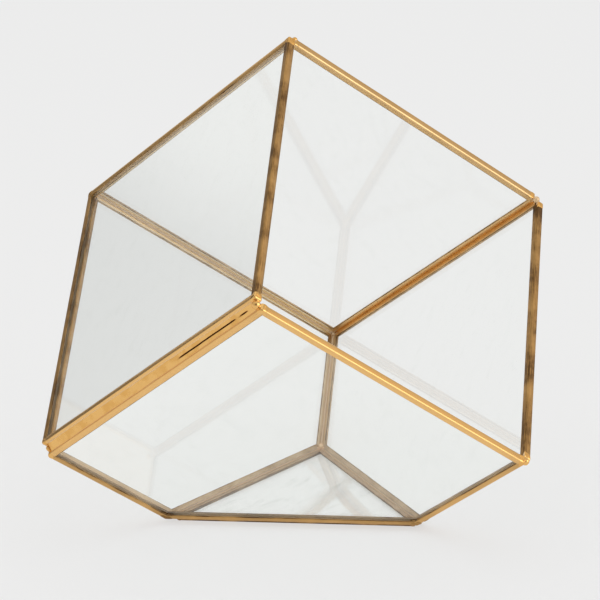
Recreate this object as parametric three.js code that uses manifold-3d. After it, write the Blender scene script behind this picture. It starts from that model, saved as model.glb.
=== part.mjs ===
// Geometric glass terrarium. A cube of glass panes stands on one corner, and that corner is cut
// off level to make a triangular foot. One upper face is left open, to plant through. Every edge
// of every pane sits in a folded brass U-channel of its own, and channels that meet along an edge
// of the cube touch only at their inner corners: the groove outside them holds a solder seam, and
// a solder bead covers each corner.
//
// Millimetres, +Z up. The open face looks towards -Y. But for the edges of three panes that are a
// little out of place, the part is mirror-symmetric about X = 0.

import * as THREE from 'three';
import { ConvexGeometry } from 'three/addons/geometries/ConvexGeometry.js';
import { mergeVertices } from 'three/addons/utils/BufferGeometryUtils.js';
import Module from 'manifold-3d';

const wasm = await Module();
wasm.setup();

// ---------------------------------------------------------------- driving dimensions

const CUBE_EDGE = 140; // cube edge, measured between the inner corners of the brass
const FOOT_CUT = 74.6; // length of each lower edge that is cut away with the bottom corner

const GLASS = 2; // pane thickness
const GLASS_PLAY = 0.4; // between a pane and the channel round its edge
const BRASS = 0.4; // sheet thickness of the channels
const CHANNEL_DEPTH = 2.8; // outside of the web to the lips of the flanges
const BEND_RADIUS = 0.8; // outside radius of a channel's two folds
const BEND_STEPS = 3;

const CORNER_LINE_PLAY = 0.2; // each web stands back this far from the edge that it shares
const MITRE_GAP = 0.3; // between two channels at a pane's corner
const SOLDER_GAP = 0.3; // between solder and brass

// Three panes were cut or set a little out of true. For each: the corner that the edge runs from,
// and how far that edge lies past the cube's own, or short of it where negative. At the back the
// two left panes' channels lap over the back pane's, and at the mouth they stand proud.
const LAPS = {
  upper_left: { back: 1.8, mouth_left: 1.4 },
  lower_left: { left: 2.2, mouth_front: 1.4 },
  upper_right: { top: -1 },
};

const SEAM_LEG = 1.9; // reach of a seam up each web, where the web leaves room
const SEAM_LIP = 0.2; // thickness of a seam where it thins out on a web
const SEAM_THROAT = 0.55; // how far the seam's hollow face is pulled into the groove
const SEAM_STEPS = 4;

const BEAD_DETAIL = 3;
const FLOOR_CLEARANCE = 0.3; // beads stay off the surface that the foot stands on
// The ball of solder at each corner: its radius, and how far its middle lies outside the corner.
const BEADS = {
  top: { radius: 2.4, offset: 0.6 },
  mouth_left: { radius: 2.9, offset: 1.4 },
  mouth_right: { radius: 3.2, offset: 1.1 },
  mouth_front: { radius: 3.4, offset: 1.0 },
  back: { radius: 3.3, offset: 0.9 },
  left: { radius: 3.1, offset: 0.8 },
  right: { radius: 3.3, offset: 0.9 },
  foot_front: { radius: 3.0, offset: 0.9 },
  foot_left: { radius: 3.0, offset: 0.9 },
  foot_right: { radius: 3.0, offset: 0.9 },
};

const CHANNEL_WIDTH = GLASS + 2 * (GLASS_PLAY + BRASS); // across the pane

// ---------------------------------------------------------------- corners and panes

// A corner of the standing cube, by its bearing from the front, its distance from the upright
// diagonal and its height over the cut-off bottom corner, the last two in cube edges.
function corner(bearing, distance, height) {
  const angle = THREE.MathUtils.degToRad(bearing);
  return new THREE.Vector3(Math.sin(angle) * distance, -Math.cos(angle) * distance, height)
    .multiplyScalar(CUBE_EDGE);
}

const RING = Math.sqrt(2 / 3);
const THIRD = 1 / Math.sqrt(3); // a third of the upright diagonal
const FOOT_SCALE = FOOT_CUT / CUBE_EDGE;

const corners = {
  top: corner(0, 0, 3 * THIRD),
  mouth_left: corner(-60, RING, 2 * THIRD),
  mouth_right: corner(60, RING, 2 * THIRD),
  back: corner(180, RING, 2 * THIRD),
  mouth_front: corner(0, RING, THIRD),
  left: corner(-120, RING, THIRD),
  right: corner(120, RING, THIRD),
  foot_front: corner(0, RING * FOOT_SCALE, THIRD * FOOT_SCALE),
  foot_left: corner(-120, RING * FOOT_SCALE, THIRD * FOOT_SCALE),
  foot_right: corner(120, RING * FOOT_SCALE, THIRD * FOOT_SCALE),
};

// Each pane's corners, in order, counter-clockwise as seen from outside.
const outlines = {
  upper_left: ['top', 'back', 'left', 'mouth_left'],
  upper_right: ['top', 'mouth_right', 'right', 'back'],
  lower_left: ['mouth_left', 'left', 'foot_left', 'foot_front', 'mouth_front'],
  lower_right: ['mouth_right', 'mouth_front', 'foot_front', 'foot_right', 'right'],
  back: ['back', 'right', 'foot_right', 'foot_left', 'left'],
  foot: ['foot_left', 'foot_right', 'foot_front'],
};

// The outward normal of a pane, and for each of its edges the direction along it, the direction
// into the pane, half the pane's angle at both ends, its lap, and where the pane's own edge starts.
function layOut(pane, names) {
  const count = names.length;
  const before = (i) => (i + count - 1) % count;
  const after = (i) => (i + 1) % count;
  const along = names.map((name, i) => (
    corners[names[after(i)]].clone().sub(corners[name]).normalize()
  ));
  const normal = along[0].clone().cross(along[1]).normalize();
  const inward = along.map((direction) => normal.clone().cross(direction));
  const lap = names.map((name) => LAPS[pane]?.[name] ?? 0);
  const halfAngle = along.map((direction, i) => (
    along[before(i)].clone().negate().angleTo(direction) / 2
  ));
  const start = names.map((name, i) => corners[name].clone()
    .addScaledVector(along[i], -lap[before(i)] / along[i].dot(inward[before(i)]))
    .addScaledVector(along[before(i)], -lap[i] / along[before(i)].dot(inward[i])));
  const edges = names.map((name, i) => ({
    from: name,
    to: names[after(i)],
    start: start[i],
    along: along[i],
    inward: inward[i],
    length: start[i].distanceTo(start[after(i)]),
    halfAngles: [halfAngle[i], halfAngle[after(i)]],
    lap: lap[i],
  }));
  return { normal, edges };
}

const panes = Object.fromEntries(
  Object.entries(outlines).map(([name, outline]) => [name, layOut(name, outline)]),
);

// ---------------------------------------------------------------- materials

const glass = new THREE.MeshStandardMaterial({
  name: 'glass', color: 0xe6ebe6, roughness: 0.05, metalness: 0, transparent: true, opacity: 0.25,
});
const brass = new THREE.MeshStandardMaterial({
  name: 'brass', color: 0xb8884a, roughness: 0.35, metalness: 1,
});
const solder = new THREE.MeshStandardMaterial({
  name: 'solder', color: 0xe3c488, roughness: 0.4, metalness: 1,
});

// ---------------------------------------------------------------- placing and cutting

// A mesh whose own X, Y and Z lie along the given directions, with its origin at a point.
function place(name, geometry, material, origin, x, y, z) {
  const mesh = new THREE.Mesh(geometry, material);
  mesh.name = name;
  mesh.position.copy(origin);
  mesh.quaternion.setFromRotationMatrix(new THREE.Matrix4().makeBasis(x, y, z));
  mesh.updateMatrix();
  return mesh;
}

// A closed geometry as a solid in the part's frame.
function solid(geometry, matrix = new THREE.Matrix4()) {
  const bare = geometry.clone().applyMatrix4(matrix);
  bare.deleteAttribute('normal');
  bare.deleteAttribute('uv');
  const welded = mergeVertices(bare, 1e-4);
  return new wasm.Manifold(new wasm.Mesh({
    numProp: 3,
    vertProperties: new Float32Array(welded.attributes.position.array),
    triVerts: new Uint32Array(welded.index.array),
  }));
}

function geometryOf(manifold) {
  const { vertProperties, triVerts } = manifold.getMesh();
  const geometry = new THREE.BufferGeometry();
  geometry.setAttribute('position', new THREE.BufferAttribute(new Float32Array(vertProperties), 3));
  geometry.setIndex(new THREE.BufferAttribute(new Uint32Array(triVerts), 1));
  geometry.computeVertexNormals();
  return geometry;
}

// ---------------------------------------------------------------- glass

// A pane fills its channels down to the webs, less the play, so it is the outline drawn in by the
// same amount on every edge.
function makePane(name, { normal, edges }) {
  const inset = CORNER_LINE_PLAY + BRASS + GLASS_PLAY;
  const origin = edges[0].start;
  const x = edges[0].along;
  const y = edges[0].inward;
  const outline = edges.map(({ start, along, inward, halfAngles }) => {
    const point = start.clone()
      .addScaledVector(along, inset / Math.tan(halfAngles[0]))
      .addScaledVector(inward, inset)
      .sub(origin);
    return new THREE.Vector2(point.dot(x), point.dot(y));
  });
  const geometry = new THREE.ExtrudeGeometry(new THREE.Shape(outline), {
    depth: GLASS, bevelEnabled: false,
  });
  const seat = origin.clone().addScaledVector(normal, BRASS + GLASS_PLAY);
  return place(`glass_${name}`, geometry, glass, seat, x, y, normal);
}

// ---------------------------------------------------------------- brass channels

// The channel's section: X runs into the pane from the web, Y runs outwards across the pane, and
// the inner flange lies on the cube's face.
function channelSection() {
  const x = CORNER_LINE_PLAY;
  const lip = x + CHANNEL_DEPTH;
  const top = CHANNEL_WIDTH;
  const bend = BEND_RADIUS;
  const innerBend = BEND_RADIUS - BRASS;
  const shape = new THREE.Shape();
  shape.moveTo(lip, 0);
  shape.lineTo(lip, BRASS);
  shape.lineTo(x + bend, BRASS);
  shape.absarc(x + bend, bend, innerBend, 1.5 * Math.PI, Math.PI, true);
  shape.lineTo(x + BRASS, top - bend);
  shape.absarc(x + bend, top - bend, innerBend, Math.PI, 0.5 * Math.PI, true);
  shape.lineTo(lip, top - BRASS);
  shape.lineTo(lip, top);
  shape.lineTo(x + bend, top);
  shape.absarc(x + bend, top - bend, bend, 0.5 * Math.PI, Math.PI, false);
  shape.lineTo(x, bend);
  shape.absarc(x + bend, bend, bend, Math.PI, 1.5 * Math.PI, false);
  return shape;
}

// The room that a channel takes up, glass slot included, with a margin all round.
function envelopeSection(margin) {
  const x = CORNER_LINE_PLAY - margin;
  const lip = CORNER_LINE_PLAY + CHANNEL_DEPTH + margin;
  return new THREE.Shape([
    new THREE.Vector2(x, -margin),
    new THREE.Vector2(lip, -margin),
    new THREE.Vector2(lip, CHANNEL_WIDTH + margin),
    new THREE.Vector2(x, CHANNEL_WIDTH + margin),
  ]);
}

// A section run along an edge, with both ends cut to the mitre between that edge and the next.
// endGap is what each end stands back from the mitre: a negative one passes it.
function mitredRun(section, edge, endGap) {
  const geometry = new THREE.ExtrudeGeometry(section, {
    depth: edge.length, bevelEnabled: false, curveSegments: BEND_STEPS,
  });
  const position = geometry.attributes.position;
  for (let i = 0; i < position.count; i++) {
    const atStart = position.getZ(i) < edge.length / 2;
    const half = edge.halfAngles[atStart ? 0 : 1];
    const back = position.getX(i) / Math.tan(half) + endGap / Math.sin(half);
    position.setZ(i, atStart ? back : edge.length - back);
  }
  geometry.computeVertexNormals();
  return geometry;
}

function makeChannel(paneName, normal, edge) {
  return place(
    `channel_${paneName}_${edge.from}_${edge.to}`,
    mitredRun(channelSection(), edge, MITRE_GAP / 2),
    brass, edge.start, edge.inward, normal, edge.along,
  );
}

// ---------------------------------------------------------------- solder

// Every edge of the cube or foot that two panes share, with the outward normals and laps of both.
function sharedEdges() {
  const found = new Map();
  for (const { normal, edges } of Object.values(panes)) {
    for (const { from, to, along, lap } of edges) {
      const key = [from, to].sort().join('_');
      if (!found.has(key)) found.set(key, { from, to, along, normals: [], laps: [] });
      found.get(key).normals.push(normal);
      found.get(key).laps.push(lap);
    }
  }
  return [...found.values()].filter(({ normals }) => normals.length === 2);
}

// The middle of a corner's ball of solder, a little outside the mean of its panes' own corners.
function beadCentre(name) {
  const outward = new THREE.Vector3();
  const mean = new THREE.Vector3();
  let count = 0;
  for (const { normal, edges } of Object.values(panes)) {
    const edge = edges.find(({ from }) => from === name);
    if (!edge) continue;
    outward.add(normal);
    mean.add(edge.start);
    count += 1;
  }
  return mean.divideScalar(count).addScaledVector(outward.normalize(), BEADS[name].offset);
}

// How far a seam stands back from a corner, to stay clear of the bead there.
function beadReach(name, direction) {
  return beadCentre(name).sub(corners[name]).dot(direction) + BEADS[name].radius + SOLDER_GAP;
}

// A seam fills the foot of the groove between two webs, with a hollow face. Its section has X up
// the first web, and its corner is where the two webs would meet.
function makeSeam({ from, to, along, normals, laps }) {
  const [first, second] = normals;
  const across = along.clone().cross(first);
  const side = Math.sign(across.dot(second));
  const angle = first.angleTo(second);
  const up = new THREE.Vector2(1, 0);
  const over = new THREE.Vector2(Math.cos(angle), Math.sin(angle));
  const toWebs = laps.map((lap) => (SOLDER_GAP - CORNER_LINE_PLAY + lap) / Math.sin(angle));
  const [overLeg, upLeg] = laps.map((lap) => (
    Math.min(SEAM_LEG, CHANNEL_WIDTH - SOLDER_GAP - lap)
  ));
  const point = (a, b) => new THREE.Vector2()
    .addScaledVector(up, toWebs[1] + a)
    .addScaledVector(over, toWebs[0] + b);
  const throat = point(SEAM_THROAT, SEAM_THROAT);
  const overLip = point(SEAM_LIP, overLeg);

  const shape = new THREE.Shape([point(0, 0), point(upLeg, 0), point(upLeg, SEAM_LIP)]);
  shape.quadraticCurveTo(throat.x, throat.y, overLip.x, overLip.y);
  shape.lineTo(point(0, overLeg).x, point(0, overLeg).y);

  // The seam runs towards the end from which its second web lies on the section's +Y side.
  const direction = along.clone().multiplyScalar(side);
  const [start, end] = side > 0 ? [from, to] : [to, from];
  const startStop = beadReach(start, direction);
  const endStop = beadReach(end, direction.clone().negate());
  const length = corners[start].distanceTo(corners[end]);
  const geometry = new THREE.ExtrudeGeometry(shape, {
    depth: length - startStop - endStop, bevelEnabled: false, curveSegments: SEAM_STEPS,
  });
  const origin = corners[start].clone().addScaledVector(direction, startStop);
  return place(
    `seam_${from}_${to}`, geometry, solder, origin, first, across.multiplyScalar(side), direction,
  );
}

// The inside of the terrarium, where no solder goes, mouth included.
const inside = solid(new ConvexGeometry(Object.values(corners)));
const floor = solid(
  new THREE.BoxGeometry(CUBE_EDGE, CUBE_EDGE, CUBE_EDGE),
  new THREE.Matrix4().makeTranslation(
    0, 0, corners.foot_front.z - CHANNEL_WIDTH + FLOOR_CLEARANCE - CUBE_EDGE / 2,
  ),
);

// A bead is a ball of solder over a corner, less the room of the channels that it joins.
function makeBead(name) {
  const keepOut = [inside, floor];
  for (const { normal, edges } of Object.values(panes)) {
    for (const edge of edges.filter(({ from, to }) => from === name || to === name)) {
      const basis = new THREE.Matrix4()
        .makeBasis(edge.inward, normal, edge.along)
        .setPosition(edge.start);
      keepOut.push(solid(mitredRun(envelopeSection(SOLDER_GAP), edge, -SOLDER_GAP), basis));
    }
  }
  const centre = beadCentre(name);
  let ball = solid(
    new THREE.IcosahedronGeometry(BEADS[name].radius, BEAD_DETAIL),
    new THREE.Matrix4().makeTranslation(centre.x, centre.y, centre.z),
  );
  for (const room of keepOut) ball = ball.subtract(room);
  const lumps = ball.decompose().sort((a, b) => b.volume() - a.volume());
  const mesh = new THREE.Mesh(geometryOf(lumps[0]), solder);
  mesh.name = `bead_${name}`;
  return mesh;
}

// ---------------------------------------------------------------- assembly

const terrarium = new THREE.Group();
terrarium.name = 'terrarium';

for (const [name, pane] of Object.entries(panes)) {
  terrarium.add(makePane(name, pane));
  for (const edge of pane.edges) terrarium.add(makeChannel(name, pane.normal, edge));
}
for (const edge of sharedEdges()) terrarium.add(makeSeam(edge));
for (const name of Object.keys(corners)) terrarium.add(makeBead(name));

// The origin is the middle of the bounding box's base, on the surface that the foot stands on.
terrarium.updateMatrixWorld(true);
const box = new THREE.Box3().setFromObject(terrarium, true);
const middle = box.getCenter(new THREE.Vector3());
terrarium.position.set(-middle.x, -middle.y, -box.min.z);
terrarium.updateMatrixWorld(true);

export default terrarium;
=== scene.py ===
import math

import bmesh
import bpy
from mathutils import Matrix, Vector, noise


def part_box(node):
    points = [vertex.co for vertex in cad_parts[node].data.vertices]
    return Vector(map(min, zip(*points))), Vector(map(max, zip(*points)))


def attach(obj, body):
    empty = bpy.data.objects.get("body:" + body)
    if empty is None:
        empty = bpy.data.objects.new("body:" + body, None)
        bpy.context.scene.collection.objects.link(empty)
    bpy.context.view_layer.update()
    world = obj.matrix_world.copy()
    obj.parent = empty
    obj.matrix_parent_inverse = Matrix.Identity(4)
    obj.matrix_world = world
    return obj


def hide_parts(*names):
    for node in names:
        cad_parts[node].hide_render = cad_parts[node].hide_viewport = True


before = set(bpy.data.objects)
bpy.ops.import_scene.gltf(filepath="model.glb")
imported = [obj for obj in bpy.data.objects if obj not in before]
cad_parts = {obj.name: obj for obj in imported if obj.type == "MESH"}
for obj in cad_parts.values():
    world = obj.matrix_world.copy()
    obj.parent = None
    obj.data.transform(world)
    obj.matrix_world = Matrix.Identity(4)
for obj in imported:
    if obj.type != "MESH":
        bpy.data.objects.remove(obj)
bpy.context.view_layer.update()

# Geometric glass terrarium: glass panes, each edged with folded brass strips, soldered together
# along the edges of a cube that stands on one cut-off corner. Metres, Z up, the mouth looks
# towards -Y.

mm = 0.001

vessel = {
    "edge": 140 * mm,      # cube edge, between the inner corners of the brass
    "footCut": 74.6 * mm,  # length cut off each edge that ran to the bottom corner
    # how far some edges lie past the cube's own, by pane and the corner that the edge runs from
    "laps": {
        "upper_left": {"back": 1.8 * mm, "mouth_left": 1.4 * mm},
        "lower_left": {"left": 2.2 * mm, "mouth_front": 1.4 * mm},
        "upper_right": {"top": -1.0 * mm},
    },
}


# Small helpers.

def colour(hexCode):
    channels = [int(hexCode[i:i + 2], 16) / 255 for i in (1, 3, 5)]
    linear = [c / 12.92 if c <= 0.04045 else ((c + 0.055) / 1.055) ** 2.4 for c in channels]
    return (*linear, 1.0)


def addNode(tree, kind, values=None, **settings):
    # Values are numbers, sockets, or nodes, which stand for what they work out.
    node = tree.nodes.new(kind)
    for name, setting in settings.items():
        setattr(node, name, setting)
    for key, value in (values or {}).items():
        socket = node.inputs[key]
        if isinstance(value, bpy.types.Node):
            value = value.outputs[2 if getattr(value, "data_type", "") == "RGBA" else 0]
        if isinstance(value, bpy.types.NodeSocket):
            tree.links.new(value, socket)
        else:
            socket.default_value = value
    return node


def addObject(name, data):
    piece = bpy.data.objects.new(name, data)
    bpy.context.scene.collection.objects.link(piece)
    return piece


def smoothStep(value, low, high):
    share = min(max((value - low) / (high - low), 0.0), 1.0)
    return share * share * (3 - 2 * share)


# Corners, panes and edges, laid out as in the frame.

ringRadius = math.sqrt(2 / 3)
third = 1 / math.sqrt(3)  # a third of the upright diagonal, in cube edges

edging = {
    "width": 3.6 * mm,       # across the pane
    "depth": 2.8 * mm,       # from the web to the lips
    "sheet": 0.4 * mm,       # brass thickness
    "fold": 0.65 * mm,       # outside radius of a fold that shows
    "tightFold": 0.5 * mm,   # of one at the inner corner of two strips
    "wideFold": 1.0 * mm,    # and of the one round the inside of the mouth
    "foldSteps": 7,
    "pinch": 0.12 * mm,      # how far the lips are pressed in, onto the glass
    # panes whose strips have shallower flanges, by how much inside (at shared edges) and outside
    "trimmedPanes": ("upper_right", "lower_right", "back", "foot"),
    "trimmed": (0.4 * mm, 1.8 * mm),
    "flangeSteps": 5,
    "lipRound": 0.12 * mm,
    "standBack": 0.2 * mm,   # from the cube's edge to the web
    "cornerBend": 1.3 * mm,  # radius of the web where the strip turns a pane's corner
    "mitreGap": 0.06 * mm,
    "squeezed": 1.6,         # where the flanges are straight again, in lengths of the mitre
    "stations": 96,          # cross-sections along a strip
    "crowding": 0.9,         # how much closer they stand near the strip's ends
    "sway": 0.16 * mm,       # how far a strip wanders off its line
    "crimp": 0.07 * mm,      # how far its lips do
    "swayLength": 38 * mm,
    "crimpLength": 9 * mm,
    "steady": (5 * mm, 18 * mm),       # both start so far from an end, and are full so far
    "jointTarnish": 0.12,              # how much browner the strips are at the joints
    "tarnishFades": (3 * mm, 14 * mm),
    "grooveDusty": (2.2 * mm, 0.6 * mm),  # dust reaches so far across, and so far from the edge
    "hemWidth": 0.85 * mm,             # of the band at the outer fold that painted shade darkens
    "sharpest": 42,                    # degrees between faces that still shade as one
}

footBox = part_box("glass_foot")
cubeTip = Vector((  # where the bottom corner would be, under the middle of the foot's triangle
    (footBox[0].x + footBox[1].x) / 2,
    (footBox[0].y + 2 * footBox[1].y) / 3,
    edging["width"] - vessel["footCut"] * third,
))


def cornerPoint(bearing, distance, height):
    angle = math.radians(bearing)
    return cubeTip + vessel["edge"] * Vector((
        math.sin(angle) * distance, -math.cos(angle) * distance, height))


footScale = vessel["footCut"] / vessel["edge"]
corners = {
    "top": cornerPoint(0, 0, 3 * third),
    "mouth_left": cornerPoint(-60, ringRadius, 2 * third),
    "mouth_right": cornerPoint(60, ringRadius, 2 * third),
    "back": cornerPoint(180, ringRadius, 2 * third),
    "mouth_front": cornerPoint(0, ringRadius, third),
    "left": cornerPoint(-120, ringRadius, third),
    "right": cornerPoint(120, ringRadius, third),
    "foot_front": cornerPoint(0, ringRadius * footScale, third * footScale),
    "foot_left": cornerPoint(-120, ringRadius * footScale, third * footScale),
    "foot_right": cornerPoint(120, ringRadius * footScale, third * footScale),
}

outlines = {  # corners of each pane, counter-clockwise from outside
    "upper_left": ["top", "back", "left", "mouth_left"],
    "upper_right": ["top", "mouth_right", "right", "back"],
    "lower_left": ["mouth_left", "left", "foot_left", "foot_front", "mouth_front"],
    "lower_right": ["mouth_right", "mouth_front", "foot_front", "foot_right", "right"],
    "back": ["back", "right", "foot_right", "foot_left", "left"],
    "foot": ["foot_left", "foot_right", "foot_front"],
}


def layOutPane(paneName, names):
    count = len(names)
    along = [(corners[names[(i + 1) % count]] - corners[names[i]]).normalized()
             for i in range(count)]
    normal = along[0].cross(along[1]).normalized()
    inward = [normal.cross(direction) for direction in along]
    halfAngles = [(-along[i - 1]).angle(along[i]) / 2 for i in range(count)]
    laps = [vessel["laps"].get(paneName, {}).get(name, 0.0) for name in names]
    starts = [corners[names[i]]
              - along[i] * laps[i - 1] / along[i].dot(inward[i - 1])
              - along[i - 1] * laps[i] / along[i - 1].dot(inward[i])
              for i in range(count)]
    edges = []
    for i, name in enumerate(names):
        after = (i + 1) % count
        edges.append({
            "name": "-".join(sorted((name, names[after]))),
            "from": name,
            "to": names[after],
            "start": starts[i],
            "length": (starts[after] - starts[i]).length,
            "along": along[i],
            "inward": inward[i],
            "normal": normal,
            "lap": laps[i],
            "halfAngles": (halfAngles[i], halfAngles[after]),
        })
    return {"normal": normal, "edges": edges}


panes = {name: layOutPane(name, outline) for name, outline in outlines.items()}


def sharedEdges():
    # the edges where two panes meet, which leaves out the four round the mouth
    found = {}
    for pane in panes.values():
        for edge in pane["edges"]:
            found.setdefault(edge["name"], []).append(edge)
    return {name: pair for name, pair in found.items() if len(pair) == 2}


def axesAt(origin, x, y, z):
    placed = Matrix((x, y, z)).transposed().to_4x4()
    placed.translation = origin
    return placed


# Camera, stage and light.

photoCamera = {
    "fromTip": (-0.8805, -0.6830, 0.4487),  # its place, from the cube's lost bottom corner
    "azimuth": -52.2,    # degrees, 0 looks along +Y
    "elevation": 15.95,  # degrees above the level
    "roll": -1.28,       # degrees, the photographer's tilt
    "lens": 162.2,       # mm on a 36 mm sensor
}


def setCamera():
    data = bpy.data.cameras.new("photoCamera")
    data.lens = photoCamera["lens"]
    data.sensor_width = 36
    data.clip_start = 0.01
    data.clip_end = 50
    camera = addObject("photoCamera", data)
    place = cubeTip + Vector(photoCamera["fromTip"])
    turn = Matrix.Rotation(math.radians(photoCamera["azimuth"]), 4, "Z")
    tilt = Matrix.Rotation(math.radians(90 - photoCamera["elevation"]), 4, "X")
    roll = Matrix.Rotation(math.radians(photoCamera["roll"]), 4, "Z")
    camera.matrix_world = Matrix.Translation(place) @ turn @ tilt @ roll
    bpy.context.scene.camera = camera


studio = {
    "backdrop": "#ECECEC",
    "floorPaint": "#EFEFEE",
    "floorGlow": ("#ECECEC", 0.72),  # light of the sweep itself, and its share
    "floorRadius": 6.0,
    "floorRoughness": 0.95,
    "floorLight": 1.12,   # strength of the backdrop's light on matt things
    "softboxSize": 1.6,
    "softboxPlace": (0.3, 0.2, 1.5),
    "softboxWatts": 2.0,
    "wall": "#D2D2D1",    # what shiny things mirror where no patch is
    # direction of each patch of the room that shiny things mirror, its colour, its strength and
    # the angle that it reaches, in degrees; then how soft its rim is, as shares of that angle
    "patches": (
        ((0.04, 0.94, 0.33), "#8E8D8B", 1.0, 8),
        ((0.12, 0.985, 0.12), "#0A0A0A", 1.0, 8),
        ((0.21, 0.94, 0.30), "#F4F3F1", 1.0, 4),
        ((0.26, -0.92, 0.23), "#FFFFFF", 2.6, 26),
        ((0.78, -0.40, 0.48), "#D2D0CD", 1.0, 20),
        ((0.70, -0.53, 0.48), "#FFE7C4", 1.15, 5),
        ((-0.76, -0.59, 0.27), "#8E8C8A", 1.0, 34),
    ),
    "patchRim": (0.5, 1.5),
}


def setStage():
    scene = bpy.context.scene
    scene.view_settings.view_transform = "Standard"
    scene.view_settings.look = "None"

    mesh = bpy.data.meshes.new("floor")
    build = bmesh.new()
    bmesh.ops.create_circle(build, cap_ends=True, segments=96, radius=studio["floorRadius"])
    build.to_mesh(mesh)
    build.free()
    floor = addObject("floor", mesh)
    paper = bpy.data.materials.new("matt paper sweep")
    paper.use_nodes = True
    shader = paper.node_tree.nodes["Principled BSDF"]
    # lit from behind for the most part, so the vessel hardly shades it
    glow, share = studio["floorGlow"]
    paint = Vector(colour(studio["floorPaint"])[:3]) * (1 - share)
    shader.inputs["Base Color"].default_value = (*paint, 1.0)
    shader.inputs["Emission Color"].default_value = colour(glow)
    shader.inputs["Emission Strength"].default_value = share
    shader.inputs["Roughness"].default_value = studio["floorRoughness"]
    shader.inputs["Specular IOR Level"].default_value = 0.0
    mesh.materials.append(paper)

    # What polished metal and glass mirror is a studio with bright and dim sides. Everything else,
    # the camera included, sees the even backdrop.
    world = bpy.data.worlds.new("studio")
    world.use_nodes = True
    scene.world = world
    tree = world.node_tree
    tree.nodes.clear()
    place = addNode(tree, "ShaderNodeTexCoord").outputs["Generated"]
    path = addNode(tree, "ShaderNodeLightPath")
    lift = addNode(tree, "ShaderNodeMapRange", {
        "Value": path.outputs["Is Diffuse Ray"], "To Min": 1.0, "To Max": studio["floorLight"]})
    even = addNode(tree, "ShaderNodeBackground", {
        "Color": colour(studio["backdrop"]), "Strength": lift})
    shade = colour(studio["wall"])
    for direction, tint, strength, reach in studio["patches"]:
        full, none = (math.cos(math.radians(reach * share)) for share in studio["patchRim"])
        facing = addNode(tree, "ShaderNodeVectorMath", {
            0: place, 1: Vector(direction).normalized()}, operation="DOT_PRODUCT")
        amount = addNode(tree, "ShaderNodeMapRange", {
            "Value": facing.outputs["Value"], "From Min": none, "From Max": full},
            interpolation_type="SMOOTHSTEP")
        bright = [channel * strength for channel in colour(tint)[:3]]
        shade = addNode(tree, "ShaderNodeMix", {
            0: amount, 6: shade, 7: (*bright, 1.0)}, data_type="RGBA")
    mirrored = addNode(tree, "ShaderNodeBackground", {"Color": shade, "Strength": 1.0})
    glossy = addNode(tree, "ShaderNodeMath", {
        0: path.outputs["Is Glossy Ray"], 1: path.outputs["Is Reflection Ray"]},
        operation="MULTIPLY")
    both = addNode(tree, "ShaderNodeMixShader", {0: glossy, 1: even, 2: mirrored})
    addNode(tree, "ShaderNodeOutputWorld", {"Surface": both})

    lamp = bpy.data.lights.new("softbox", "AREA")
    lamp.shape = "DISK"
    lamp.size = studio["softboxSize"]
    lamp.energy = studio["softboxWatts"]
    softbox = addObject("softbox", lamp)
    softbox.location = studio["softboxPlace"]
    softbox.rotation_euler = (-softbox.location).to_track_quat("-Z", "Y").to_euler()


# Finishes.

def newFinish(name):
    finish = bpy.data.materials.new(name)
    finish.use_nodes = True
    finish.node_tree.nodes.clear()
    return finish, finish.node_tree


drawnBrass = {
    "bright": "#FDD190",
    "warm": "#F0BA6C",
    "paintedLightInside": "#F3DFBC",          # painted light: paler inner flange, lifting the dim glow bounced between strips
    # brown of tarnish, also used as painted shade
    "tarnishAndShade": "#8F6B3E",
    "smut": "#5E442A",
    "putty": "#F2DCBE",           # what beds the glass, seen through it in the slot
    "slotShade": 0.85,                # how far the tarnish and painted shade round it darken the putty: painted shade
    "roughness": (0.24, 0.44),    # bright brass, tarnished brass
    "anisotropy": 0.6,            # how far the drawn lines stretch a highlight
    # length and spacing of the drawn lines, drawn coarse to show, and their relief
    "grain": (11 * mm, 0.2 * mm),
    "grainRelief": (0.25, 0.03 * mm),
    "blotch": 14 * mm,
    "blotchNoise": (0.1, 0.42),   # values of the noise where a blotch begins and is full
    "patchiness": (0.55, 1.25),   # share of the tarnish off the blotches, and on them
    "sooty": 0.85,                # tarnish and painted shade past which smut starts
}


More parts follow.
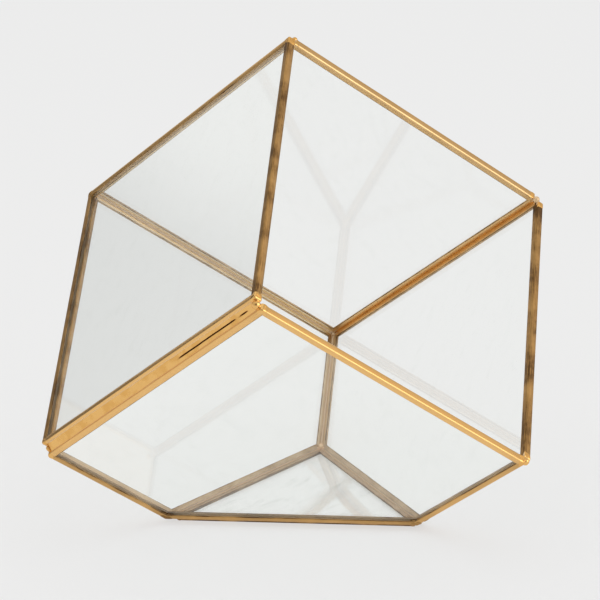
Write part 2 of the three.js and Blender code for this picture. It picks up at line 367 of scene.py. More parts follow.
def makeBrass():
    # Drawn brass strip, lacquered and handled: fine lines along its length stretch every
    # highlight across it, and brown tarnish gathers near the joints. Each strip's own tarnish is
    # partly painted shade, where it mirrors a darker part of the room; painted shade also darkens
    # the lips and the lowest strips' outer fold, and painted light pales the flanges that look
    # into the vessel. The slot is bedded with pale putty, a matt grey through the edge of the
    # glass, that painted shade darkens.
    finish, tree = newFinish("drawn brass strip")
    along = addNode(tree, "ShaderNodeUVMap", uv_map="strip")
    place = addNode(tree, "ShaderNodeTexCoord").outputs["Object"]
    grime = addNode(tree, "ShaderNodeAttribute", attribute_name="grime").outputs["Fac"]
    slot = addNode(tree, "ShaderNodeAttribute", attribute_name="slot").outputs["Fac"]
    pale = addNode(tree, "ShaderNodeAttribute", attribute_name="pale").outputs["Fac"]

    length, spacing = drawnBrass["grain"]
    stretched = addNode(tree, "ShaderNodeMapping", {
        "Vector": along, "Scale": (1 / length, 1 / spacing, 1.0)})
    grain = addNode(tree, "ShaderNodeTexNoise", {
        "Vector": stretched, "Scale": 1.0, "Detail": 3.0, "Roughness": 0.6})
    blotches = addNode(tree, "ShaderNodeTexNoise", {
        "Vector": place, "Scale": 1 / drawnBrass["blotch"], "Detail": 4.0, "Roughness": 0.6})
    # tarnish and painted shade, where the mask puts them, broken up by the blotches and the grain
    broken = addNode(tree, "ShaderNodeMath", {
        0: blotches.outputs["Fac"], 1: grain.outputs["Fac"]}, operation="MULTIPLY")
    begins, full = drawnBrass["blotchNoise"]
    least, most = drawnBrass["patchiness"]
    patchy = addNode(tree, "ShaderNodeMapRange", {
        "Value": broken, "From Min": begins, "From Max": full, "To Min": least, "To Max": most})
    tarnishAndShade = addNode(tree, "ShaderNodeMath", {
        0: grime, 1: patchy}, operation="MULTIPLY", use_clamp=True)
    soot = addNode(tree, "ShaderNodeMapRange", {
        "Value": tarnishAndShade, "From Min": drawnBrass["sooty"]})
    # the metal's own colour, then each layer over the last: painted light, tarnish with painted
    # shade, smut
    coat = addNode(tree, "ShaderNodeMix", {
        0: grain.outputs["Fac"], 6: colour(drawnBrass["warm"]),
        7: colour(drawnBrass["bright"])}, data_type="RGBA")
    for amount, layer in ((pale, "paintedLightInside"), (tarnishAndShade, "tarnishAndShade"), (soot, "smut")):
        coat = addNode(tree, "ShaderNodeMix", {
            0: amount, 6: coat, 7: colour(drawnBrass[layer])}, data_type="RGBA")
    slotShadeAmount = addNode(tree, "ShaderNodeMath", {
        0: tarnishAndShade, 1: drawnBrass["slotShade"]}, operation="MULTIPLY")
    # painted shade in the slot: the putty darkened towards smut
    bedding = addNode(tree, "ShaderNodeMix", {
        0: slotShadeAmount, 6: colour(drawnBrass["putty"]),
        7: colour(drawnBrass["smut"])}, data_type="RGBA")
    coated = addNode(tree, "ShaderNodeMix", {0: slot, 6: coat, 7: bedding}, data_type="RGBA")
    metal = addNode(tree, "ShaderNodeMath", {0: 1.0, 1: slot}, operation="SUBTRACT")
    smooth, rough = drawnBrass["roughness"]
    dulled = addNode(tree, "ShaderNodeMath", {0: tarnishAndShade, 1: slot}, operation="MAXIMUM")
    roughness = addNode(tree, "ShaderNodeMapRange", {
        "Value": dulled, "To Min": smooth, "To Max": rough})
    strength, depth = drawnBrass["grainRelief"]
    bump = addNode(tree, "ShaderNodeBump", {
        "Height": grain.outputs["Fac"], "Strength": strength, "Distance": depth})
    direction = addNode(tree, "ShaderNodeTangent", direction_type="UV_MAP", uv_map="strip")
    shader = addNode(tree, "ShaderNodeBsdfPrincipled", {
        "Base Color": coated, "Metallic": metal, "Roughness": roughness, "Normal": bump,
        "Tangent": direction, "Anisotropic": drawnBrass["anisotropy"]})
    addNode(tree, "ShaderNodeOutputMaterial", {"Surface": shader})
    return finish


castSolder = {
    "bright": "#F0BE74",
    "dull": "#E8B366",
    "pit": "#4A2C10",             # flux and painted shade in its hollows, painted shade in cracks
    # dust; on the corners, also a painted highlight
    "dust": "#E6CFB0",
    "roughness": (0.18, 0.36),    # bright solder, dull or dusty solder
    "ripple": 1.3 * mm,
    "rippleRelief": (0.4, 0.12 * mm),
    "dullPatch": 5.2 * mm,
    "dullNoise": (0.4, 0.62),     # values of the noise where a dull patch begins and is full
}


def makeSolder():
    # Soft solder plated with brass: it froze from liquid, so it is smoother and paler than the
    # strips, with shallow ripples. Its hollows are painted dark, flux and painted shade, and so
    # are its cracks, as painted shade; dust pales it inside, and on the corners also stands in for
    # their highlights as a painted highlight.
    finish, tree = newFinish("brass-plated solder")
    place = addNode(tree, "ShaderNodeTexCoord").outputs["Object"]
    grime = addNode(tree, "ShaderNodeAttribute", attribute_name="grime").outputs["Fac"]
    dust = addNode(tree, "ShaderNodeAttribute", attribute_name="dust").outputs["Fac"]
    ripples = addNode(tree, "ShaderNodeTexNoise", {
        "Vector": place, "Scale": 1 / castSolder["ripple"], "Detail": 3.0, "Roughness": 0.55})
    patches = addNode(tree, "ShaderNodeTexNoise", {
        "Vector": place, "Scale": 1 / castSolder["dullPatch"], "Detail": 3.0})
    begins, full = castSolder["dullNoise"]
    dull = addNode(tree, "ShaderNodeMapRange", {
        "Value": patches.outputs["Fac"], "From Min": begins, "From Max": full},
        interpolation_type="SMOOTHSTEP")
    coat = colour(castSolder["bright"])
    for amount, layer in ((dull, "dull"), (grime, "pit"), (dust, "dust")):
        coat = addNode(tree, "ShaderNodeMix", {
            0: amount, 6: coat, 7: colour(castSolder[layer])}, data_type="RGBA")
    metal = addNode(tree, "ShaderNodeMath", {0: 1.0, 1: dust}, operation="SUBTRACT")
    smooth, rough = castSolder["roughness"]
    matt = addNode(tree, "ShaderNodeMath", {0: dull, 1: dust}, operation="MAXIMUM")
    roughness = addNode(tree, "ShaderNodeMapRange", {
        "Value": matt, "To Min": smooth, "To Max": rough})
    strength, depth = castSolder["rippleRelief"]
    bump = addNode(tree, "ShaderNodeBump", {
        "Height": ripples.outputs["Fac"], "Strength": strength, "Distance": depth})
    shader = addNode(tree, "ShaderNodeBsdfPrincipled", {
        "Base Color": coat, "Metallic": metal, "Roughness": roughness, "Normal": bump})
    addNode(tree, "ShaderNodeOutputMaterial", {"Surface": shader})
    return finish


sodaLime = {
    "tint": "#FEFFFE",
    "ior": 1.52,
    "shadow": "#FCFDFC",   # what is left of the light behind each face of a pane
    "film": "#D2D8D0",     # dried water film, wiped but not off
    "filmRoughness": 0.3,
    "filmOnFoot": 0.4,     # how much of it shows, on the foot and on the other panes
    "filmOnPanes": 0.06,
    "smear": (16 * mm, 4 * mm, 9 * mm),  # size of a streak, along the wiping, across it and up
    "wipedAt": 35,         # degrees from the X axis
    "streakNoise": (0.5, 0.72),          # values of the noise where a streak begins and is full
}


def makeGlass(name, film):
    # Soda-lime window glass, 2 mm, cut to size: clear with a faint green cast. film is how much
    # of the dried water on it still shows, as streaks that blur and dim what is behind them.
    finish, tree = newFinish(name)
    place = addNode(tree, "ShaderNodeTexCoord").outputs["Object"]
    stretched = addNode(tree, "ShaderNodeMapping", {
        "Vector": place, "Rotation": (0, 0, math.radians(sodaLime["wipedAt"])),
        "Scale": tuple(1 / size for size in sodaLime["smear"])})
    streaks = addNode(tree, "ShaderNodeTexNoise", {
        "Vector": stretched, "Scale": 1.0, "Detail": 6.0, "Roughness": 0.65, "Distortion": 0.6})
    begins, full = sodaLime["streakNoise"]
    amount = addNode(tree, "ShaderNodeMapRange", {
        "Value": streaks.outputs["Fac"], "From Min": begins, "From Max": full, "To Max": film},
        interpolation_type="SMOOTHSTEP")
    tint = addNode(tree, "ShaderNodeMix", {
        0: amount, 6: colour(sodaLime["tint"]), 7: colour(sodaLime["film"])}, data_type="RGBA")
    blur = addNode(tree, "ShaderNodeMapRange", {
        "Value": amount, "To Max": sodaLime["filmRoughness"]})
    shader = addNode(tree, "ShaderNodeBsdfPrincipled", {
        "Base Color": tint, "Roughness": blur, "IOR": sodaLime["ior"],
        "Transmission Weight": 1.0})
    # matt things round the panes get their light as if through air
    clear = addNode(tree, "ShaderNodeBsdfTransparent", {"Color": colour(sodaLime["shadow"])})
    path = addNode(tree, "ShaderNodeLightPath")
    spread = addNode(tree, "ShaderNodeMixShader", {
        0: path.outputs["Is Diffuse Ray"], 1: shader, 2: clear})
    both = addNode(tree, "ShaderNodeMixShader", {
        0: path.outputs["Is Shadow Ray"], 1: spread, 2: clear})
    addNode(tree, "ShaderNodeOutputMaterial", {"Surface": both})
    return finish


# Brass edging strips.

def arcPoints(centreX, centreY, radius, fromDegrees, toDegrees, count):
    turned = []
    for i in range(count + 1):
        angle = math.radians(fromDegrees + (toDegrees - fromDegrees) * i / count)
        turned.append((centreX + radius * math.cos(angle), centreY + radius * math.sin(angle)))
    return turned


def edgingSection(innerFold):
    # Closed outline of the folded sheet, from the middle of the web's inner face round to it
    # again. X runs into the pane from the web, Y outwards across it.
    near, sheet, fold = edging["standBack"], edging["sheet"], edging["fold"]
    lip, top, steps = near + edging["depth"], edging["width"], edging["foldSteps"]
    tip, count = edging["lipRound"], edging["flangeSteps"]

    def alongFlange(radius, y):
        start = near + radius
        return [(start + (lip - tip - start) * i / count, y) for i in range(1, count)]

    points = [(near + sheet, top / 2)]
    points += arcPoints(near + innerFold, innerFold, innerFold - sheet, 180, 270, steps)
    points += alongFlange(innerFold, sheet)
    points += arcPoints(lip - tip, sheet - tip, tip, 90, 0, 2)
    points += arcPoints(lip - tip, tip, tip, 0, -90, 2)
    points += alongFlange(innerFold, 0.0)[::-1]
    points += arcPoints(near + innerFold, innerFold, innerFold, 270, 180, steps)
    points += arcPoints(near + fold, top - fold, fold, 180, 90, steps)
    points += alongFlange(fold, top)
    points += arcPoints(lip - tip, top - tip, tip, 90, 0, 2)
    points += arcPoints(lip - tip, top - sheet + tip, tip, 0, -90, 2)
    points += alongFlange(fold, top - sheet)[::-1]
    points += arcPoints(near + fold, top - fold, fold - sheet, 90, 180, steps)
    pressed = []
    for x, y in points:
        share = max(x - near - fold, 0.0) / (lip - near - fold)
        move = edging["pinch"] * share * share
        pressed.append((x, y + (move if y < top / 2 else -move)))
    return pressed


def makeOutline(name, points):
    curve = bpy.data.curves.new(name, "CURVE")
    curve.dimensions = "2D"
    spline = curve.splines.new("POLY")
    spline.points.add(len(points) - 1)
    for point, (x, y) in zip(spline.points, points, strict=True):
        point.co = (x, y, 0, 1)
    spline.use_cyclic_u = True
    return addObject(name, curve)


def newTree(name, inputs):
    tree = bpy.data.node_groups.new(name, "GeometryNodeTree")
    tree.interface.new_socket("Geometry", in_out="OUTPUT", socket_type="NodeSocketGeometry")
    sockets = {}
    for label, kind in inputs.items():
        made = tree.interface.new_socket(label, in_out="INPUT", socket_type="NodeSocket" + kind)
        sockets[label] = made.identifier
    return tree, sockets


def edgingTree():
    # Sweeps the section along a strip, then turns each end round the pane's corner: the web
    # bends on a radius, and the flanges, deeper than that radius, meet in a mitre.
    tree, sockets = newTree("edging strip", {
        "Section": "Object", "Length": "Float", "Stations": "Int", "Crowding": "Float",
        "Start Half Angle": "Float", "End Half Angle": "Float", "Start Bend": "Float",
        "End Bend": "Float", "Mitre Gap": "Float", "Depth": "Float", "Inner Half": "Float",
        "Lip Half": "Float", "Sway": "Float", "Sway Length": "Float", "Crimp": "Float",
        "Crimp Length": "Float", "Seed": "Float", "Grime": "Float", "Paleness": "Float",
        "Trim Inside": "Float", "Trim Outside": "Float", "Groove Dust": "Float",
        "Lip Grime": "Float", "Hem Grime": "Float", "Material": "Material",
    })
    given = addNode(tree, "NodeGroupInput").outputs
    maths = "ShaderNodeMath"

    # stations crowd towards both ends
    line = addNode(tree, "GeometryNodeCurvePrimitiveLine", {"End": (0, 0, 1)})
    cut = addNode(tree, "GeometryNodeResampleCurve", {"Curve": line, "Count": given["Stations"]})
    factor = addNode(tree, "GeometryNodeSplineParameter").outputs["Factor"]
    turns = addNode(tree, maths, {0: factor, 1: math.tau}, operation="MULTIPLY")
    sine = addNode(tree, maths, {0: turns}, operation="SINE")
    share = addNode(tree, maths, {0: given["Crowding"], 1: math.tau}, operation="DIVIDE")
    shift = addNode(tree, maths, {0: sine, 1: share}, operation="MULTIPLY")
    eased = addNode(tree, maths, {0: factor, 1: shift}, operation="SUBTRACT")
    height = addNode(tree, maths, {0: eased, 1: given["Length"]}, operation="MULTIPLY")
    station = addNode(tree, "ShaderNodeCombineXYZ", {"Z": height})
    spaced = addNode(tree, "GeometryNodeSetPosition", {"Geometry": cut, "Position": station})

    # each point of the section keeps how far round it stands, and how far from the outline's
    # start by the shorter way
    around = addNode(tree, "GeometryNodeSplineParameter").outputs["Length"]
    whole = addNode(tree, "GeometryNodeSplineLength").outputs["Length"]
    halfWay = addNode(tree, maths, {0: whole, 1: 0.5}, operation="MULTIPLY")
    offHalf = addNode(tree, maths, {0: around, 1: halfWay}, operation="SUBTRACT")
    fromHalf = addNode(tree, maths, {0: offHalf}, operation="ABSOLUTE")
    shorter = addNode(tree, maths, {0: halfWay, 1: fromHalf}, operation="SUBTRACT")
    section = addNode(tree, "GeometryNodeObjectInfo", {"Object": given["Section"]})
    outline = section.outputs["Geometry"]
    for name, value in (("around", around), ("round", shorter)):
        outline = addNode(tree, "GeometryNodeStoreNamedAttribute", {
            "Geometry": outline, "Name": name, "Value": value})
    swept = addNode(tree, "GeometryNodeCurveToMesh", {
        "Curve": spaced, "Profile Curve": outline, "Fill Caps": True})

    place = addNode(tree, "GeometryNodeInputPosition")
    fullDepth, across, run = addNode(tree, "ShaderNodeSeparateXYZ", {0: place}).outputs
    # flanges drawn back from their lips where they are trimmed
    pastFold = addNode(tree, "ShaderNodeMapRange", {
        "Value": fullDepth, "From Min": edging["standBack"] + edging["fold"],
        "From Max": given["Depth"]})
    outerSide = addNode(tree, maths, {0: across, 1: edging["width"] / 2}, operation="GREATER_THAN")
    trimmed = addNode(tree, "ShaderNodeMix", {
        0: outerSide, 2: given["Trim Inside"], 3: given["Trim Outside"]})
    trimHere = addNode(tree, maths, {0: pastFold, 1: trimmed}, operation="MULTIPLY")
    depth = addNode(tree, maths, {0: fullDepth, 1: trimHere}, operation="SUBTRACT")

    # distance from the nearer end, and that end's half angle and bend
    left = addNode(tree, maths, {0: given["Length"], 1: run}, operation="SUBTRACT")
    nearest = addNode(tree, maths, {0: run, 1: left}, operation="MINIMUM")
    atEnd = addNode(tree, maths, {0: run, 1: left}, operation="GREATER_THAN")
    half = addNode(tree, "ShaderNodeMix", {
        0: atEnd, 2: given["Start Half Angle"], 3: given["End Half Angle"]})
    bend = addNode(tree, "ShaderNodeMix", {0: atEnd, 2: given["Start Bend"], 3: given["End Bend"]})
    steep = addNode(tree, maths, {0: half}, operation="TANGENT")

    # arc of the web: radius left at this depth, and the angle turned so far
    tangentAt = addNode(tree, maths, {0: bend, 1: steep}, operation="DIVIDE")
    spare = addNode(tree, maths, {0: bend, 1: depth}, operation="SUBTRACT")
    radius = addNode(tree, maths, {0: spare, 1: 0.0}, operation="MAXIMUM")
    progress = addNode(tree, maths, {0: nearest, 1: tangentAt}, operation="DIVIDE")
    unturned = addNode(tree, maths, {0: 1.0, 1: progress}, operation="SUBTRACT", use_clamp=True)
    fullTurn = addNode(tree, maths, {0: math.pi / 2, 1: half}, operation="SUBTRACT")
    turn = addNode(tree, maths, {0: unturned, 1: fullTurn}, operation="MULTIPLY")
    sinTurn = addNode(tree, maths, {0: turn}, operation="SINE")
    cosTurn = addNode(tree, maths, {0: turn}, operation="COSINE")
    pull = addNode(tree, maths, {0: radius, 1: sinTurn}, operation="MULTIPLY")
    least = addNode(tree, maths, {0: nearest, 1: tangentAt}, operation="MAXIMUM")
    arcRun = addNode(tree, maths, {0: least, 1: pull}, operation="SUBTRACT")
    flat = addNode(tree, maths, {0: 1.0, 1: cosTurn}, operation="SUBTRACT")
    sink = addNode(tree, maths, {0: radius, 1: flat}, operation="MULTIPLY")
    newDepth = addNode(tree, maths, {0: depth, 1: sink}, operation="ADD")

    # flanges: squeezed evenly between the mitre and where the strip is straight
    deepest = addNode(tree, maths, {0: given["Depth"], 1: steep}, operation="DIVIDE")
    reach = addNode(tree, maths, {0: deepest, 1: edging["squeezed"]}, operation="MULTIPLY")
    mitre = addNode(tree, maths, {0: depth, 1: steep}, operation="DIVIDE")
    part = addNode(tree, maths, {0: nearest, 1: reach}, operation="DIVIDE", use_clamp=True)
    remaining = addNode(tree, maths, {0: 1.0, 1: part}, operation="SUBTRACT")
    held = addNode(tree, maths, {0: mitre, 1: remaining}, operation="MULTIPLY")
    flangeRun = addNode(tree, maths, {0: nearest, 1: held}, operation="ADD")
    inFlange = addNode(tree, maths, {0: depth, 1: bend}, operation="GREATER_THAN")
    bent = addNode(tree, "ShaderNodeMix", {0: inFlange, 2: arcRun, 3: flangeRun})
    sinHalf = addNode(tree, maths, {0: half}, operation="SINE")
    halfGap = addNode(tree, maths, {0: given["Mitre Gap"], 1: 0.5}, operation="MULTIPLY")
    back = addNode(tree, maths, {0: halfGap, 1: sinHalf}, operation="DIVIDE")
    backNow = addNode(tree, maths, {0: back, 1: remaining}, operation="MULTIPLY")
    newNearest = addNode(tree, maths, {0: bent, 1: backNow}, operation="ADD")
    mirrored = addNode(tree, maths, {0: given["Length"], 1: newNearest}, operation="SUBTRACT")
    newRun = addNode(tree, "ShaderNodeMix", {0: atEnd, 2: newNearest, 3: mirrored})

    # hand-made unevenness, fading out before the ends
    begins, full = edging["steady"]
    fade = addNode(tree, "ShaderNodeMapRange", {
        "Value": nearest, "From Min": begins, "From Max": full}, interpolation_type="SMOOTHSTEP")
    longRun = addNode(tree, maths, {0: run, 1: given["Sway Length"]}, operation="DIVIDE")
    swayAt = addNode(tree, "ShaderNodeCombineXYZ", {"X": longRun, "Y": given["Seed"]})
    swaySize = addNode(tree, maths, {0: given["Sway"], 1: fade}, operation="MULTIPLY")
    shortRun = addNode(tree, maths, {0: run, 1: given["Crimp Length"]}, operation="DIVIDE")
    side = addNode(tree, maths, {0: across, 1: 1 / edging["width"]}, operation="MULTIPLY")
    crimpAt = addNode(tree, "ShaderNodeCombineXYZ", {"X": shortRun, "Y": side, "Z": given["Seed"]})
    towardsLip = addNode(tree, maths, {0: depth, 1: given["Depth"]}, operation="DIVIDE")
    lipShare = addNode(tree, maths, {0: towardsLip, 1: 2.0}, operation="POWER")
    atLips = addNode(tree, maths, {0: given["Crimp"], 1: lipShare}, operation="MULTIPLY")
    crimpSize = addNode(tree, maths, {0: atLips, 1: fade}, operation="MULTIPLY")
    moves = []
    for where, detail, size in ((swayAt, 1.0, swaySize), (crimpAt, 2.0, crimpSize)):
        wave = addNode(tree, "ShaderNodeTexNoise", {
            "Vector": where, "Scale": 1.0, "Detail": detail})
        centred = addNode(tree, "ShaderNodeVectorMath", {
            0: wave.outputs["Color"], 1: (0.5, 0.5, 0.5)}, operation="SUBTRACT")
        moves.append(addNode(tree, "ShaderNodeVectorMath", {
            0: centred, "Scale": size}, operation="SCALE"))
    wander = addNode(tree, "ShaderNodeVectorMath", {0: moves[0], 1: moves[1]}, operation="ADD")
    sideways = addNode(tree, "ShaderNodeVectorMath", {
        0: wander, 1: (1, 1, 0)}, operation="MULTIPLY")

    # the strip's own map: along it and round its section, both in metres
    roundAt = addNode(tree, "GeometryNodeInputNamedAttribute", {"Name": "around"})
    strip = addNode(tree, "ShaderNodeCombineXYZ", {"X": run, "Y": roundAt})
    finished = addNode(tree, "GeometryNodeStoreNamedAttribute", {
        "Geometry": swept, "Name": "strip", "Value": strip}, data_type="FLOAT2", domain="CORNER")

    # the slot's inner face, as far as the lips
    toLip = addNode(tree, "GeometryNodeInputNamedAttribute", {"Name": "round"})
    inner = addNode(tree, maths, {0: toLip, 1: given["Inner Half"]}, operation="LESS_THAN")
    # dust lies in the groove between two strips' inner folds, as matt as the putty
    dustAcross, dustDeep = edging["grooveDusty"]
    lowDown = addNode(tree, maths, {0: across, 1: dustAcross}, operation="LESS_THAN")
    nearWeb = addNode(tree, maths, {0: fullDepth, 1: dustDeep}, operation="LESS_THAN")
    inGroove = addNode(tree, maths, {0: lowDown, 1: nearWeb}, operation="MULTIPLY")
    dust = addNode(tree, maths, {0: inGroove, 1: given["Groove Dust"]}, operation="MULTIPLY")
    matt = addNode(tree, maths, {0: inner, 1: dust}, operation="MAXIMUM")
    # painted light: a paler tint on the flange that looks into the vessel
    nearInside = addNode(tree, maths, {0: across, 1: edging["width"] / 3}, operation="LESS_THAN")
    pale = addNode(tree, maths, {0: nearInside, 1: given["Paleness"]}, operation="MULTIPLY")
    # tarnish is heavier near the joints, and painted shade darkens the cut edge of each lip and
    # the hem
    near, far = edging["tarnishFades"]
    atJoint = addNode(tree, "ShaderNodeMapRange", {
        "Value": nearest, "From Min": near, "From Max": far, "To Min": edging["jointTarnish"],
        "To Max": 0.0}, interpolation_type="SMOOTHSTEP")
    spread = addNode(tree, maths, {0: given["Grime"], 1: atJoint}, operation="ADD")
    pastLip = addNode(tree, maths, {0: toLip, 1: given["Lip Half"]}, operation="LESS_THAN")
    bareLip = addNode(tree, maths, {0: pastLip, 1: inner}, operation="SUBTRACT")
    onLip = addNode(tree, maths, {0: bareLip, 1: given["Lip Grime"]}, operation="MULTIPLY")
    hem = addNode(tree, maths, {
        0: across, 1: edging["width"] - edging["hemWidth"]}, operation="GREATER_THAN")
    onHem = addNode(tree, maths, {0: hem, 1: given["Hem Grime"]}, operation="MULTIPLY")
    lipAndHemShade = addNode(tree, maths, {0: onLip, 1: onHem}, operation="MAXIMUM")
    grime = addNode(tree, maths, {0: spread, 1: lipAndHemShade}, operation="MAXIMUM")
    for name, value in (("slot", matt), ("pale", pale), ("grime", grime)):
        finished = addNode(tree, "GeometryNodeStoreNamedAttribute", {
            "Geometry": finished, "Name": name, "Value": value})

    final = addNode(tree, "ShaderNodeCombineXYZ", {"X": newDepth, "Y": across, "Z": newRun})
    shaped = addNode(tree, "GeometryNodeSetPosition", {
        "Geometry": finished, "Position": final, "Offset": sideways})
    real = addNode(tree, "GeometryNodeRealizeInstances", {0: shaped})
    coated = addNode(tree, "GeometryNodeSetMaterial", {
        "Geometry": real, "Material": given["Material"]})
    addNode(tree, "NodeGroupOutput", {0: coated})
    return tree, sockets


def meshFromTree(name, tree, sockets, values, placed, sharpDegrees):
    holder = addObject("making " + name, bpy.data.meshes.new("making"))
    maker = holder.modifiers.new("maker", "NODES")
    maker.node_group = tree
    for label, value in values.items():
        maker[sockets[label]] = value
    view = bpy.context.evaluated_depsgraph_get()
    mesh = bpy.data.meshes.new_from_object(holder.evaluated_get(view))
    holder.modifiers.remove(maker)
    bpy.data.objects.remove(holder)
    mesh.name = name
    mesh.transform(placed)
    mesh.shade_smooth()
    mesh.set_sharp_from_angle(angle=math.radians(sharpDegrees))
    return mesh


# What use has done to the strips at each edge, and the painted shade and light given them, with
# what holds at the edges that it doesn't name.
wear = {
    "tarnishAndPaintedShade": {  # tarnish and painted shade where they mirror dark: 0 bright, 1 dark
        "mouth_left-top": 0.92,
        "mouth_front-mouth_right": 0.95,
        "mouth_right-top": 0.35,
        "back-top": 0.2,
        "back-left": 0.86,
        "foot_left-left": 0.45,
        "foot_front-foot_left": 0.6,
        "foot_front-mouth_front": 0.35,
        "mouth_right-right": 0.2,
        "foot_left-foot_right": 0.75,
        "foot_front-foot_right": 0.65,
        "foot_right-right": 0.4,
        "elsewhere": 0.08,
    },
    "pale": {  # how much painted light pales their inner flanges
        "mouth_right-right": 0.3,
        "mouth_right-top": 0.3,
        "mouth_left-top": 0.3,
        "mouth_front-mouth_right": 0.0,
        "mouth_front-mouth_left": 0.0,
        "back-left": 0.3,
        "elsewhere": 1.0,
    },
    "dusty": {"mouth_right-right": 0.4, "elsewhere": 1.0},  # the groove between them, inside
    # how dark their lips are painted, as painted shade
    "lipShade": {"mouth_left-top": 0.5, "mouth_front-mouth_right": 0.5, "elsewhere": 1.0},
    "hemShade": {  # all the foot's strips and two of one pane, painted in shade along their lowest edge
        "foot": 1.1,
        ("lower_left", "foot_left-left"): 0.6,
        ("lower_left", "foot_front-foot_left"): 0.6,
    },
}

# Radius of the web's turn at a pane's corner where it isn't the usual one.
cornerBends = {
    ("top", "upper_left"): 0.5 * mm,
    ("mouth_left", "upper_left"): 0.7 * mm,
    ("top", "upper_right"): 1.7 * mm,
    ("left", "upper_left"): 1.7 * mm,
    ("left", "lower_left"): 1.7 * mm,
    ("mouth_right", "lower_right"): 0.8 * mm,
}


def wearAt(kind, edgeName):
    return wear[kind].get(edgeName, wear[kind]["elsewhere"])


def bendAt(corner, paneName):
    return cornerBends.get((corner, paneName), edging["cornerBend"])


def edgingValues(paneName, edge, isShared, count):
    fold = edging["tightFold" if isShared else "wideFold"]
    sheet, tip = edging["sheet"], edging["lipRound"]
    innerHalf = (edging["width"] / 2 - fold + (fold - sheet) * math.pi / 2
                 + edging["depth"] - fold - tip / 2)
    trims = edging["trimmed"] if paneName in edging["trimmedPanes"] else (0.0, 0.0)
    onFoot = paneName == "foot"
    hemShade = wear["hemShade"]
    return {
        "Length": edge["length"],
        "Stations": edging["stations"],
        "Crowding": edging["crowding"],
        "Start Half Angle": edge["halfAngles"][0],
        "End Half Angle": edge["halfAngles"][1],
        "Start Bend": bendAt(edge["from"], paneName),
        "End Bend": bendAt(edge["to"], paneName),
        "Mitre Gap": edging["mitreGap"],
        "Depth": edging["standBack"] + edging["depth"],
        "Inner Half": innerHalf,
        "Lip Half": innerHalf + tip * math.pi + sheet - 2 * tip,
        # the foot's strips lie flat on what they stand on
        "Sway": 0.0 if onFoot else edging["sway"],
        "Sway Length": edging["swayLength"],
        "Crimp": 0.0 if onFoot else edging["crimp"],
        "Crimp Length": edging["crimpLength"],
        "Seed": float(count * 7 + 3),
        "Trim Inside": trims[0] if isShared else 0.0,
        "Trim Outside": trims[1],
        "Grime": wearAt("tarnishAndPaintedShade", edge["name"]),
        "Paleness": wearAt("pale", edge["name"]),
        "Groove Dust": wearAt("dusty", edge["name"]) if isShared else 0.0,
        "Lip Grime": wearAt("lipShade", edge["name"]),
        "Hem Grime": hemShade.get(paneName, hemShade.get((paneName, edge["name"]), 0.0)),
    }


def makeEdging(brass):
    tree, sockets = edgingTree()
    sections = {isShared: makeOutline("edging section", edgingSection(edging[fold]))
                for isShared, fold in ((False, "wideFold"), (True, "tightFold"))}
    shared = sharedEdges()
    pieces = []
    for paneName, pane in panes.items():
        for edge in pane["edges"]:
            isShared = edge["name"] in shared
            values = edgingValues(paneName, edge, isShared, len(pieces))
            values.update({"Section": sections[isShared], "Material": brass})
            placed = axesAt(edge["start"], edge["inward"], edge["normal"], edge["along"])
            name = f"edging_{paneName}_{edge['from']}_{edge['to']}"
            mesh = meshFromTree(name, tree, sockets, values, placed, edging["sharpest"])
            piece = addObject(name, mesh)
            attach(piece, "root")
            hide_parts(f"channel_{paneName}_{edge['from']}_{edge['to']}")
            pieces.append(piece)
    for section in sections.values():
        bpy.data.objects.remove(section)
    print("edging strips:", len(pieces), "with", len(pieces[0].data.polygons), "faces each")


# Solder in the grooves between two panes' strips.

groove = {
    "leg": 2.5 * mm,        # how far the fillet reaches up each web
    "throat": 1.15 * mm,    # how far its free face is drawn into the groove, 0 is deepest
    "tuck": 0.12 * mm,      # how far it runs on behind the brass
    "lumps": 0.14,          # unevenness of its size along the groove
    "lumpLength": 7 * mm,
    "lumpNoise": (0.2, 0.8),  # values of the noise where it is smallest and largest
    "stations": 220,
    "faceSteps": 32,
    "fromCorner": 1.4 * mm,
    "belowFlange": 0.4 * mm,  # how far it stays short of the web's other fold
    "crackHalf": (0.03, 0.075),  # half a crack's width at bottom and rim, as shares of the face
    "crackDepth": 0.5 * mm,
    "crackEnds": (-1.6 * mm, 1.2 * mm),  # past its end, where it starts to close and is closed
    # where the solder has cracked open, measured from the mouth's left corner
    "cracks": {"left-mouth_left": ((14 * mm, 50 * mm), (6.5 * mm, 11 * mm))},
    "noCracks": ((-1.0, -0.9), (-1.0, -0.9)),  # stretches off its ends
    "sharpest": 50,
}


